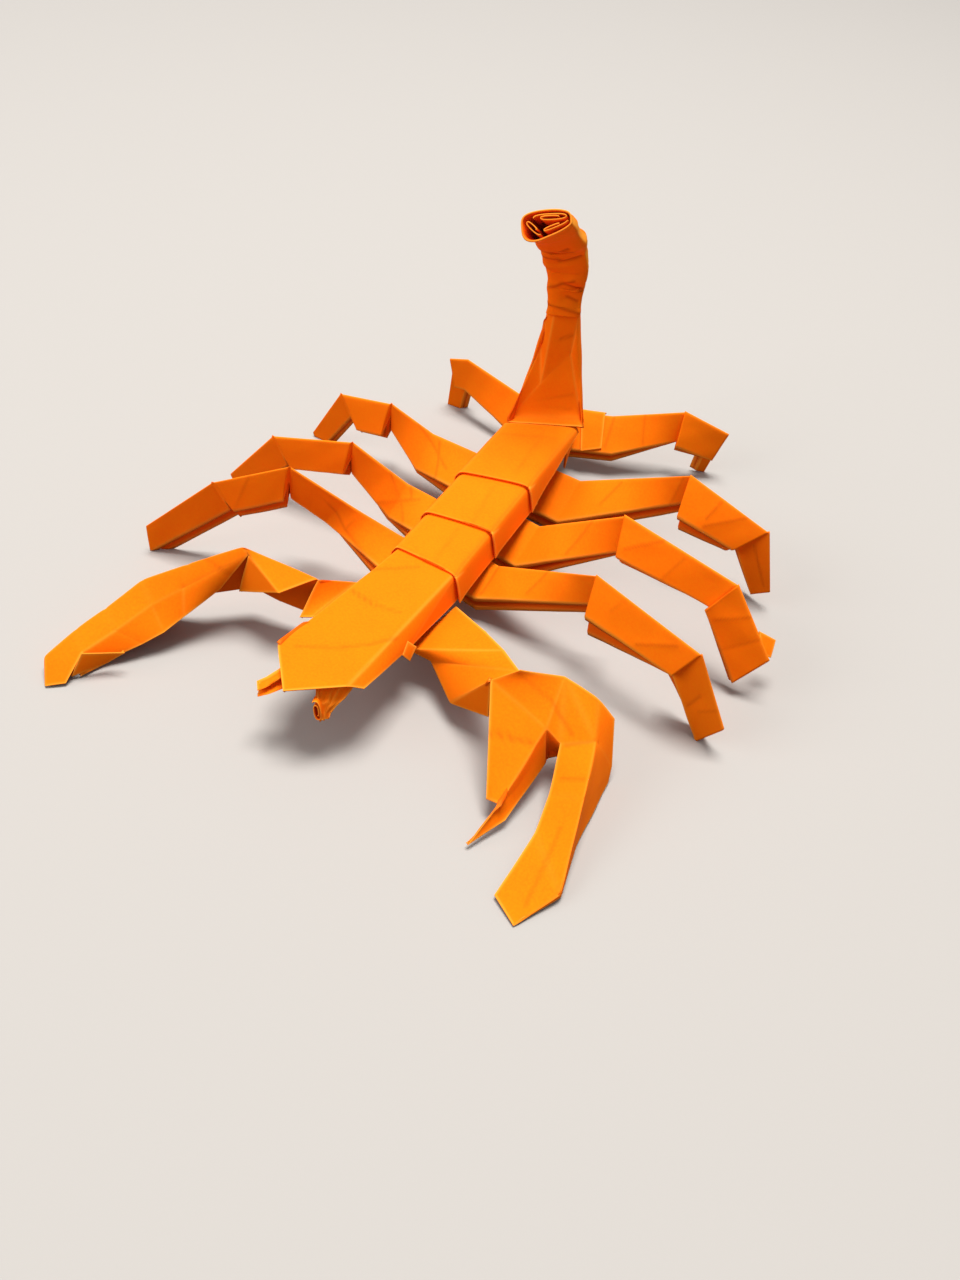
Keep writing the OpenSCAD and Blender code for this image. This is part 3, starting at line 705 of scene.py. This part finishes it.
TAIL_ROOT = (
    (-7.5, 51.5, 17.8), (8.2, 59.5, 17.8), (1.9, 61.9, 33.5), (-2.9, 58.2, 26.3), (2.2, 62.8, 43),
    (-2.8, 60.5, 43), (-4.9, 60.2, 34.2), (-4.9, 61.6, 43.5), (-7.4, 56, 16), (8, 62, 16), (1, 66, 43.5),
    (-5, 64, 43.5), (-7.3, 53.6, 18.2), (7.1, 60.9, 18.9),
)
TAIL_ROOT_FACETS = (
    (0, 1, 13, 12), (12, 13, 2, 3), (3, 2, 4, 5), (0, 12, 3, 6), (3, 5, 7, 6), (8, 0, 6, 7, 11),
    (1, 9, 10, 4, 2, 13), (9, 8, 11, 10),
)
TAIL_ROOT_MARKS = (
    ((-6.5, 51.9, 22), (5.3, 58.5, 21.4), -0.16), ((-6.5, 51.9, 22), (5, 59.5, 24.5), -0.1),
    ((-0.3, 60.3, 37), (1.8, 61.6, 38), -0.1),
)
TAIL_MARKS = (
    ((-5, 60, 45), (2.6, 62.5, 43.5), 0.3), ((-1.5, 59.9, 50.3), (1.7, 61.6, 49), -0.35),
    ((-5, 59.5, 48.5), (0.5, 60.5, 51.5), 0.25), ((-2, 56.9, 56.1), (2.6, 57.9, 57.8), -0.4),
    ((-5.8, 56.5, 58), (-0.5, 56, 56.5), 0.3), ((-6, 53.5, 61.5), (3, 55, 60), 0.3),
    ((-3, 54, 59), (0.5, 54, 61.5), -0.3), ((-0.3, 60.3, 47), (2.2, 61.6, 46), -0.3),
)


def crumple(p, seed, pitch):
    """Unevenness of handled paper between -1 and 1, flat facets between sharp creases: three triangle waves
    2/pi * arcsin(sin(phase)) in directions drawn once from the seed."""
    rng = np.random.default_rng(seed)
    ways = unit(rng.normal(size=(3, 3))) * (2 * np.pi / (pitch * np.array([0.8, 1.1, 1.7])))[:, None]
    return np.arcsin(np.sin(p @ ways.T + rng.uniform(0, 6, 3))).sum(axis=1) * 2 / (3 * np.pi)


def rolled_strip(paper, centre, x, y, back, half_x, half_y, turns, wall=0.22):
    """A strip rolled up flat, carried along back: a spiral that at angle t has a share 0.4 + 0.6 t / t_end of
    the sizes half_x * |cos t|^0.8 and half_y * |sin t|^0.7."""
    t = np.linspace(0, 2 * np.pi * turns, int(64 * turns))
    share = mix(0.4, 1.0, t / t[-1])
    sx = np.sign(np.cos(t)) * np.abs(np.cos(t)) ** 0.8 * half_x * share
    sy = np.sign(np.sin(t)) * np.abs(np.sin(t)) ** 0.7 * half_y * share
    out = unit(np.stack([sx / half_x ** 2, sy / half_y ** 2], axis=1)) * wall
    w = np.linspace(0, 1, 14)
    route = centre + w[None, :, None] * back
    outer, inner = ((route + px[:, None, None] * x + py[:, None, None] * y).reshape(-1, 3)
                    for px, py in ((sx, sy), (sx - out[:, 0], sy - out[:, 1])))
    edge = np.tile(np.exp(-(w / 0.08) ** 2), len(t))
    paper.shell(outer, inner, grid_quads(len(t), len(w))[:, ::-1], edge=edge)


def make_tail(material):
    """The root is a folded sheet that runs on from the rear plate. From there a flattened roll is carried
    along the tail's route: at angle a its section is |cos|^0.8 across and |sin|^0.55 through, thinner to
    the right near the end, which turns by END_TURN. Flat rolled strips fill its open end."""
    paper = Paper()
    folded_sheet(paper, TAIL_ROOT, TAIL_ROOT_FACETS, TAIL_ROOT_CELLS, fold_r=0.22, waves=0.14, pitch=7,
                 seed=71, marks=TAIL_ROOT_MARKS, soft={(12, 13): 1.6})
    v = np.linspace(ROLL_START, len(TAIL_RINGS) - 1, 180)
    c, d, across, through, w, t = tail_frame(v)
    end = np.clip((v - 5.5) / 3.5, 0, 1)[:, None]
    turn = np.radians(END_TURN) * end
    across, through = (across * np.cos(turn) + through * np.sin(turn),
                       through * np.cos(turn) - across * np.sin(turn))
    a = np.linspace(0, 2 * np.pi, 112, endpoint=False)
    cx = np.sign(np.cos(a)) * np.abs(np.cos(a)) ** 0.8
    cy = np.sign(np.sin(a)) * np.abs(np.sin(a)) ** 0.55
    rows = []
    for inset in (0.0, ROLL_WALL):
        x = (w[:, None] / 2 - inset) * cx
        y = (t[:, None] / 2 - inset) * cy * (1 - 0.45 * end * cx * (cy < 0))
        rows.append(c[:, None] + x[..., None] * across[:, None] + y[..., None] * through[:, None])
    outer, inner = (r.reshape(-1, 3) for r in rows)
    quads = grid_quads(len(v), len(a), closed=True)[:, ::-1]
    n = point_normals(outer, quads)
    lift, mark = fold_marks(outer, n, TAIL_MARKS)
    lift = (1.4 * lift + 0.4 * crumple(outer, 70, 8.0) + 0.1 * ripple(outer, 70, 4.0))[:, None] * n
    # fold: a painted highlight along the roll's two side folds, with scuffed fibre. The right side fold is
    # lighter still towards the end, and so is the end's cut edge.
    fold = np.tile(np.exp(-((np.abs(np.cos(a)) - 1) / 0.03) ** 2) * 0.9, len(v))
    crease_tone = np.clip((v - 5) / 1.5, 0, 1)[:, None] * np.exp(-((np.cos(a) - 1) / 0.02) ** 2)
    edge = np.maximum(np.exp(-((v - v[-1]) / 0.05) ** 2)[:, None], crease_tone).ravel()
    paper.shell(outer + lift, inner + lift, quads, fold, mark * 1.6, edge)
    tip, back = c[-1] + 0.15 * d[-1], -5.0 * d[-1]
    for u, s, tilt, half_x, half_y, turns in END_STRIPS:
        k = np.radians(tilt)
        x = np.cos(k) * across[-1] + np.sin(k) * through[-1]
        rolled_strip(paper, tip + u * across[-1] + s * through[-1], x, np.cross(d[-1], x), back,
                     half_x, half_y, turns)
    paper.piece("tail", material)


# Claws

RIGHT_CLAW = [
    (8, -1, 9), (18.5, -9.5, 14.5), (25, -15, 17.5), (30.5, -20.5, 20), (5, -16, 8), (10.5, -16, 7.5),
    (18, -21.5, 5), (26, -22.5, 17), (26.5, -22.5, 7), (37.5, -15.5, 18), (44.5, -14.5, 15), (48, -14, 11),
    (50.5, -18, 3), (38.5, -24, 12.5), (41.5, -24, 10), (47.5, -21.5, 12), (50, -31.5, 8), (53.5, -47.5, 2),
    (43.5, -31.5, 5), (44.5, -39, 3), (43.5, -52.5, 1), (49, -56, 0.6), (51, -20, 0.6), (51.5, -36, 0.6),
    (53.5, -47, 0.6), (34, -37.5, 4), (37, -38, 5), (35, -46, 1.2), (40, -25.5, 5), (38.5, -38.5, 2),
    (39.2, -22.6, 3), (40.9, -20.6, 2.6),
]
RIGHT_CLAW_FACETS = [
    (0, 4, 2, 1), (4, 5, 3, 2), (5, 6, 7, 3), (6, 8, 7),
    (3, 7, 13, 9), (9, 13, 14), (9, 14, 15), (9, 15, 10), (10, 15, 12, 11),
    (7, 25, 26, 13), (13, 26, 27, 29, 28),
    (13, 28, 30), (13, 30, 31, 14), (14, 18, 16, 15), (18, 19, 17, 16), (19, 20, 21, 17),
    (15, 16, 23, 22, 12), (16, 17, 24, 23), (17, 21, 24),
]
LEFT_CLAW = [
    (-4, -4, 9.5), (-4, -13.5, 8), (-11, -8, 12), (-16, -14, 15), (-30.5, -18.5, 20), (-14.3, -19.6, 9.8),
    (-16.8, -20.1, 8.8), (-20.2, -21.9, 15), (-31, -20.5, 9), (-29, -19, 18.5), (-17.5, -14.5, 5),
    (-24, -15.5, 6), (-30.5, -16, 7.2), (-39.5, -25, 16), (-47, -30, 12), (-50.5, -37.5, 8.5),
    (-53, -43.5, 6.5), (-55, -50.5, 4), (-38.5, -28, 12), (-43, -32.5, 9), (-46, -40, 6.5),
    (-49, -46.5, 4.5), (-33, -23.5, 11), (-37, -30.5, 7), (-39, -34.5, 5), (-41.5, -38, 3.5),
    (-44, -41.5, 2.5), (-52, -54.5, 0.6), (-49, -52, 0.8), (-48, -49, 0.6), (-46, -43.5, 0.6),
    (-38, -22.5, 6.6), (-47.5, -28, 1), (-52, -36, 0.6), (-54.5, -43, 0.6), (-56, -50, 0.6), (-10, -9, 5),
]
LEFT_CLAW_FACETS = [
    (0, 2, 5, 1), (2, 3, 6, 5), (3, 2, 36, 10), (3, 4, 9, 7), (7, 9, 8),
    (3, 10, 11, 4), (11, 12, 4), (12, 31, 4),
    (4, 13, 18, 9), (9, 18, 23, 22), (13, 14, 19, 18), (14, 15, 20, 19), (15, 16, 21, 20),
    (18, 19, 24, 23), (19, 20, 25, 24), (20, 21, 26, 25),
    (16, 17, 27, 28, 21), (21, 29, 30, 26),
    (13, 4, 31), (14, 13, 31, 32), (15, 14, 32, 33), (16, 15, 33, 34), (17, 16, 34, 35), (27, 17, 35),
]


RIGHT_CLAW_MARKS = (
    ((44.3, -28.7, 6.9), (48.3, -28.3, 8.9), -0.08), ((30, -29.1, 11.2), (37.4, -26.9, 10.7), -0.1),
    ((48.1, -37, 5), (49, -51.7, 1.3), -0.07), ((30.9, -20.9, 19.2), (37.3, -20, 15.6), -0.05),
    ((37.3, -20, 15.6), (42.9, -22.2, 11.6), -0.08), ((42.6, -23.8, 10.2), (47.8, -20.7, 11.1), -0.08),
)
LEFT_CLAW_MARKS = (((-36.4, -23, 17.1), (-31.6, -21.8, 14.4), -0.07),)
RIGHT_CLAW_SOFT = {(9, 14): 1.3, (9, 15): 1.3, (10, 15): 1.0, (16, 18): 1.3, (17, 19): 1.3}
LEFT_CLAW_SOFT = {(9, 18): 1.0, (13, 18): 1.3, (14, 19): 1.3, (15, 20): 1.3, (16, 21): 1.3, (20, 25): 1.0}
LEFT_CLAW_FLAP = ((-47.9, -47.7, 5.8), (-49.2, -50.2, 0.8), (-44.6, -44.7, 2.4), (-41.6, -42.9, 5.2))
CLAW_CURL_AT = (40.6, -22.6, 4.4)


def make_claws(material):
    """The open claw with a torn curl of paper between its blades, and the closed one with a flap under its
    tip."""
    paper = Paper()
    folded_sheet(paper, RIGHT_CLAW, RIGHT_CLAW_FACETS, RIGHT_CLAW_CELLS, fold_r=0.26, waves=0.1, pitch=8,
                 seed=81, marks=RIGHT_CLAW_MARKS, soft=RIGHT_CLAW_SOFT)
    x = unit([0.8, 0.5, 0.1])
    back = unit(np.cross(x, [0.3, -0.5, 0.8]))
    rolled_strip(paper, np.array(CLAW_CURL_AT), x, np.cross(x, -back), -2.5 * back, 1.5, 0.9,
                 turns=1.2, wall=0.2)
    paper.piece("right_claw", material)
    paper = Paper()
    folded_sheet(paper, LEFT_CLAW, LEFT_CLAW_FACETS, LEFT_CLAW_CELLS, fold_r=0.26, waves=0.1, pitch=8,
                 seed=91, marks=LEFT_CLAW_MARKS, soft=LEFT_CLAW_SOFT)
    folded_sheet(paper, LEFT_CLAW_FLAP, ((0, 1, 2, 3),), 10, seed=36)
    paper.piece("left_claw", material)


# Rows of points from the root to the tip, each row across the pleats
LEFT_MOUTHPART = (
    ((-8.6, -37.2, 14.7), (-7.2, -38.6, 14.3), (-8, -36.4, 12.9), (-5.8, -39, 12.6), (-6.4, -37.6, 11.5)),
    ((-10.2, -40.4, 13.7), (-8.7, -42.2, 13.4), (-9.9, -39.9, 12.5), (-8.1, -42.5, 12.2), (-8.9, -41, 11.3)),
    ((-11.4, -41.7, 13.2), (-10, -43.5, 12.9), (-11.4, -41.1, 12), (-9.8, -43.8, 11.7), (-10.8, -42.4, 10.8)),
)
RIGHT_MOUTHPART = (
    ((-2.5, -36, 15.1), (-0.2, -37, 15), (1, -35, 15.1), (2.9, -35.5, 15), (4.9, -32, 15.1)),
    ((0.2, -39.9, 13.4), (0.9, -40.6, 12.4), (1.7, -38.9, 12.6), (2.4, -39.4, 11.6), (3.7, -37, 12.5)),
    ((0.6, -40.6, 10.9), (1.2, -41.2, 10.4), (1.6, -39.9, 10.6), (2, -40.1, 10.2), (2.3, -39.1, 10.3)),
    ((1.3, -41, 9.5), (1.7, -41.2, 9.2), (1.8, -40.4, 9.3), (2.1, -40.5, 9.2), (2.3, -39.8, 9.6)),
)
MOUTH_ROLL_AT = (1.1, -41.3, 11.7)


def make_mouthparts(material):
    """Two pleated, crumpled ends of paper under the shield's point, each of two sheets that lie apart, one
    of them rolled up at its side."""
    for name, rows, seed in (
        ("left_mouthpart", LEFT_MOUTHPART, 95),
        ("right_mouthpart", RIGHT_MOUTHPART, 96),
    ):
        paper = Paper()
        n = len(rows[0])
        facets = [(i * n + j, i * n + n + j, i * n + n + j + 1, i * n + j + 1)
                  for i in range(len(rows) - 1) for j in range(n - 1)]
        for shift in (0.0, 1.0):
            corners = np.array(rows, float) + shift * np.array([0.35, 0.75, -0.1])
            corners[:, ::2] -= shift * np.array([0, 0.8, -0.3])
            folded_sheet(paper, corners.reshape(-1, 3), facets, MOUTHPART_CELLS, fold_r=0.12, waves=0.1,
                         pitch=2.5, seed=seed, plies=1, ply=0.2)
        if name == "right_mouthpart":
            x = unit([0.27, -0.16, -0.95])
            back = unit([-0.2, 0.8, -0.5])
            back = unit(back - (back @ x) * x)
            rolled_strip(paper, np.array(MOUTH_ROLL_AT), x, np.cross(x, back), 2.0 * back, 2.3, 0.9,
                         turns=1.6, wall=0.18)
        paper.piece(name, material)


# The model's frame: the middle of the footprint, from the left front foot to the right second one and
# from the open claw's tip to the right rear leg
WEST = leg_point(-1, LEGS["left_leg_1"][1], LEGS["left_leg_1"][2][-1])[0]
EAST = leg_point(1, LEGS["right_leg_2"][1], LEGS["right_leg_2"][2][-1])[0]
SOUTH = -56.0
NORTH = leg_point(1, LEGS["right_leg_4"][1], LEGS["right_leg_4"][2][3])[1]
MIDDLE = np.array([(WEST + EAST) / 2, (SOUTH + NORTH) / 2, 0])


def place(p):
    """Points in millimetres in the body's own frame, moved to the model's frame in metres."""
    return (np.asarray(p, float) - MIDDLE) * MM


# Materials

def linear(code):
    """Linear colour of an sRGB hex value."""
    c = np.array([int(code[k:k + 2], 16) / 255 for k in (1, 3, 5)])
    c = np.where(c <= 0.04045, c / 12.92, ((c + 0.055) / 1.055) ** 2.4)
    return (*c.tolist(), 1.0)


def node(tree, kind, settings=None, **inputs):
    """Adds a node with its settings and its inputs, each a value or another node's output."""
    made = tree.nodes.new(kind)
    for key, value in (settings or {}).items():
        setattr(made, key, value)
    for key, value in inputs.items():
        socket = made.inputs[int(key[1:])] if key[0] == "i" and key[1:].isdigit() else made.inputs[
            key.replace("_", " ")]
        if isinstance(value, bpy.types.NodeSocket):
            tree.links.new(value, socket)
        else:
            socket.default_value = value
    return made


def new_material(name):
    material = bpy.data.materials.new(name)
    material.use_nodes = True
    material.node_tree.nodes.clear()
    return material, material.node_tree


def dyed_paper():
    """Matte orange paper, dyed in the mass and folded by hand: an even, soft surface with a fine felt of
    fibres and faint cloudiness. Folds are lighter, partly scuffed fibre and partly a painted highlight where
    a fold catches light; cut edges are lighter, partly their paler cut face and partly a painted highlight;
    old fold marks get painted crease shade; and the inner faces of the plies get a painted redder shade for
    light bounced between them. Its clouds are 9 mm wide, and its fibres are drawn 0.5 mm long so that they
    show."""
    material, t = new_material("matte_dyed_orange_paper")
    where = node(t, "ShaderNodeTexCoord").outputs["Object"]
    cloud = node(t, "ShaderNodeTexNoise", Vector=where, Scale=1 / (9 * MM), Detail=3.0, Roughness=0.55)
    fibre = node(t, "ShaderNodeTexNoise", Vector=where, Scale=1 / (0.5 * MM), Detail=4.0, Roughness=0.6)
    base = node(t, "ShaderNodeMix", {"data_type": "RGBA"}, i0=cloud.outputs["Fac"],
                i6=linear("#FF6C00"), i7=linear("#FF7A00"))
    grain = node(t, "ShaderNodeMapRange", Value=fibre.outputs["Fac"], From_Min=0.35, From_Max=0.7,
                 To_Min=0.0, To_Max=0.35)
    felt = node(t, "ShaderNodeMix", {"data_type": "RGBA"}, i0=grain.outputs["Result"],
                i6=base.outputs[2], i7=linear("#FF8A00"))
    # Folds lighter: scuffed fibre plus a painted highlight where a rounded fold catches light. Cut edges
    # lighter: their paler cut face plus a painted highlight.
    fold = node(t, "ShaderNodeAttribute", {"attribute_name": "fold"})
    cut = node(t, "ShaderNodeAttribute", {"attribute_name": "edge"})
    folded = node(t, "ShaderNodeMath", {"operation": "MULTIPLY"}, i0=fold.outputs["Fac"], i1=0.26)
    cut_face_and_highlight = node(t, "ShaderNodeMath", {"operation": "MULTIPLY"}, i0=cut.outputs["Fac"], i1=0.6)
    scuff_and_highlight = node(t, "ShaderNodeMath", {"operation": "MAXIMUM"}, i0=folded.outputs[0], i1=cut_face_and_highlight.outputs[0])
    scuffed_and_highlit = node(t, "ShaderNodeMix", {"data_type": "RGBA"}, i0=scuff_and_highlight.outputs[0], i6=felt.outputs[2],
                  i7=linear("#FFB03A"))
    # Old fold marks darkened: painted crease shade.
    mark = node(t, "ShaderNodeAttribute", {"attribute_name": "mark"})
    crease_shade_share = node(t, "ShaderNodeMath", {"operation": "MULTIPLY"}, i0=mark.outputs["Fac"], i1=0.4)
    crease_tone = node(t, "ShaderNodeMix", {"data_type": "RGBA"}, i0=crease_shade_share.outputs[0], i6=scuffed_and_highlit.outputs[2],
                i7=linear("#B84400"))
    # Inner faces of the plies turned redder: painted shade standing in for red light bounced between them.
    inside = node(t, "ShaderNodeAttribute", {"attribute_name": "inside"})
    inner_shade = node(t, "ShaderNodeMath", {"operation": "MULTIPLY"}, i0=inside.outputs["Fac"], i1=0.55)
    full = node(t, "ShaderNodeMix", {"data_type": "RGBA"}, i0=inner_shade.outputs[0], i6=crease_tone.outputs[2],
                i7=linear("#DE4400"))
    bump = node(t, "ShaderNodeBump", Height=fibre.outputs["Fac"], Strength=0.3, Distance=0.06 * MM)
    shader = node(t, "ShaderNodeBsdfPrincipled", Base_Color=full.outputs[2], Roughness=0.85, IOR=1.45,
                  Normal=bump.outputs["Normal"])
    shader.inputs["Specular IOR Level"].default_value = 0.12
    node(t, "ShaderNodeOutputMaterial", Surface=shader.outputs[0])
    return material


def studio_floor():
    """Smooth pale board. To the camera it is nearly white; it throws little light back under the paper."""
    material, t = new_material("pale_studio_board")
    path = node(t, "ShaderNodeLightPath")
    seen = node(t, "ShaderNodeMath", {"operation": "MAXIMUM"}, i0=path.outputs["Is Camera Ray"],
                i1=path.outputs["Is Glossy Ray"])
    seen = node(t, "ShaderNodeMath", {"operation": "MAXIMUM"}, i0=seen.outputs[0],
                i1=path.outputs["Is Transmission Ray"])
    colour = node(t, "ShaderNodeMix", {"data_type": "RGBA"}, i0=seen.outputs[0],
                  i6=linear("#6E655E"), i7=linear("#ABA7A3"))
    shader = node(t, "ShaderNodeBsdfPrincipled", Base_Color=colour.outputs[2], Roughness=0.85)
    node(t, "ShaderNodeOutputMaterial", Surface=shader.outputs[0])
    return material


# Studio

def make_floor():
    mesh = bpy.data.meshes.new("floor")
    r = 3.0
    mesh.from_pydata([(-r, -r, 0), (r, -r, 0), (r, r, 0), (-r, r, 0)], [], [(0, 1, 2, 3)])
    mesh.materials.append(studio_floor())
    floor = bpy.data.objects.new("floor", mesh)
    bpy.context.scene.collection.objects.link(floor)


def set_frame(made, x, y, z, at):
    """Puts a lamp or camera at a place, with its own axes along x, y and z."""
    rows = [(*axes, c) for axes, c in zip(np.stack([x, y, z], axis=1), at)]
    made.matrix_world = Matrix(rows + [(0, 0, 0, 1)])


def soft_box(name, at, aim, size, watts, colour):
    lamp = bpy.data.lights.new(name, "AREA")
    lamp.shape = "RECTANGLE"
    lamp.size, lamp.size_y = size
    lamp.energy = watts
    lamp.color = linear(colour)[:3]
    made = bpy.data.objects.new(name, lamp)
    back = unit(np.array(at) - np.array(aim))
    x = unit(np.cross((0.0, 0.0, 1.0), back) + np.array([1e-6, 0, 0]))
    set_frame(made, x, np.cross(back, x), back, at)
    bpy.context.scene.collection.objects.link(made)


def make_light():
    """A broad soft box overhead, a little behind the body, a weaker one from the front on the left, and an
    even room."""
    soft_box("key", (-0.05, 0.2, 1.3), (0, 0, 0), (0.6, 0.5), 26, "#FFFDFA")
    soft_box("fill", (-0.85, -0.8, 0.7), (0, 0, 0), (0.9, 0.7), 7, "#FFFFFF")
    world = bpy.data.worlds.new("room")
    bpy.context.scene.world = world
    world.use_nodes = True
    t = world.node_tree
    t.nodes.clear()
    path = node(t, "ShaderNodeLightPath")
    strength = node(t, "ShaderNodeMapRange", Value=path.outputs["Is Camera Ray"], To_Min=0.4, To_Max=0.85)
    sky = node(t, "ShaderNodeBackground", Color=linear("#F4F3F1"), Strength=strength.outputs["Result"])
    node(t, "ShaderNodeOutputWorld", Surface=sky.outputs[0])


# The camera: its place, where it looks, the way to its right, and its focal length and picture in pixels
CAMERA_AT = (77.7, -152.7, 165)
CAMERA_FORWARD = (-0.2751, 0.6561, -0.7028)
CAMERA_RIGHT = (0.886, 0.4568, 0.0796)
FOCAL_PX = 1130
PICTURE_H_PX = 1280


def make_camera():
    """A camera held low over the floor, in front of the open claw."""
    camera = bpy.data.cameras.new("camera")
    camera.sensor_width = 32.0
    camera.lens = FOCAL_PX / PICTURE_H_PX * camera.sensor_width
    camera.clip_start = 0.01
    camera.clip_end = 20
    forward = unit(CAMERA_FORWARD)
    right = unit(CAMERA_RIGHT)
    made = bpy.data.objects.new("camera", camera)
    set_frame(made, right, np.cross(right, forward), -forward, place(CAMERA_AT))
    bpy.context.scene.collection.objects.link(made)
    bpy.context.scene.camera = made


make_camera()
make_floor()
make_light()
orange = dyed_paper()
make_back(orange)
make_underside(orange)
make_legs(orange)
make_tail(orange)
make_claws(orange)
make_mouthparts(orange)
bpy.context.scene.view_settings.view_transform = "Standard"
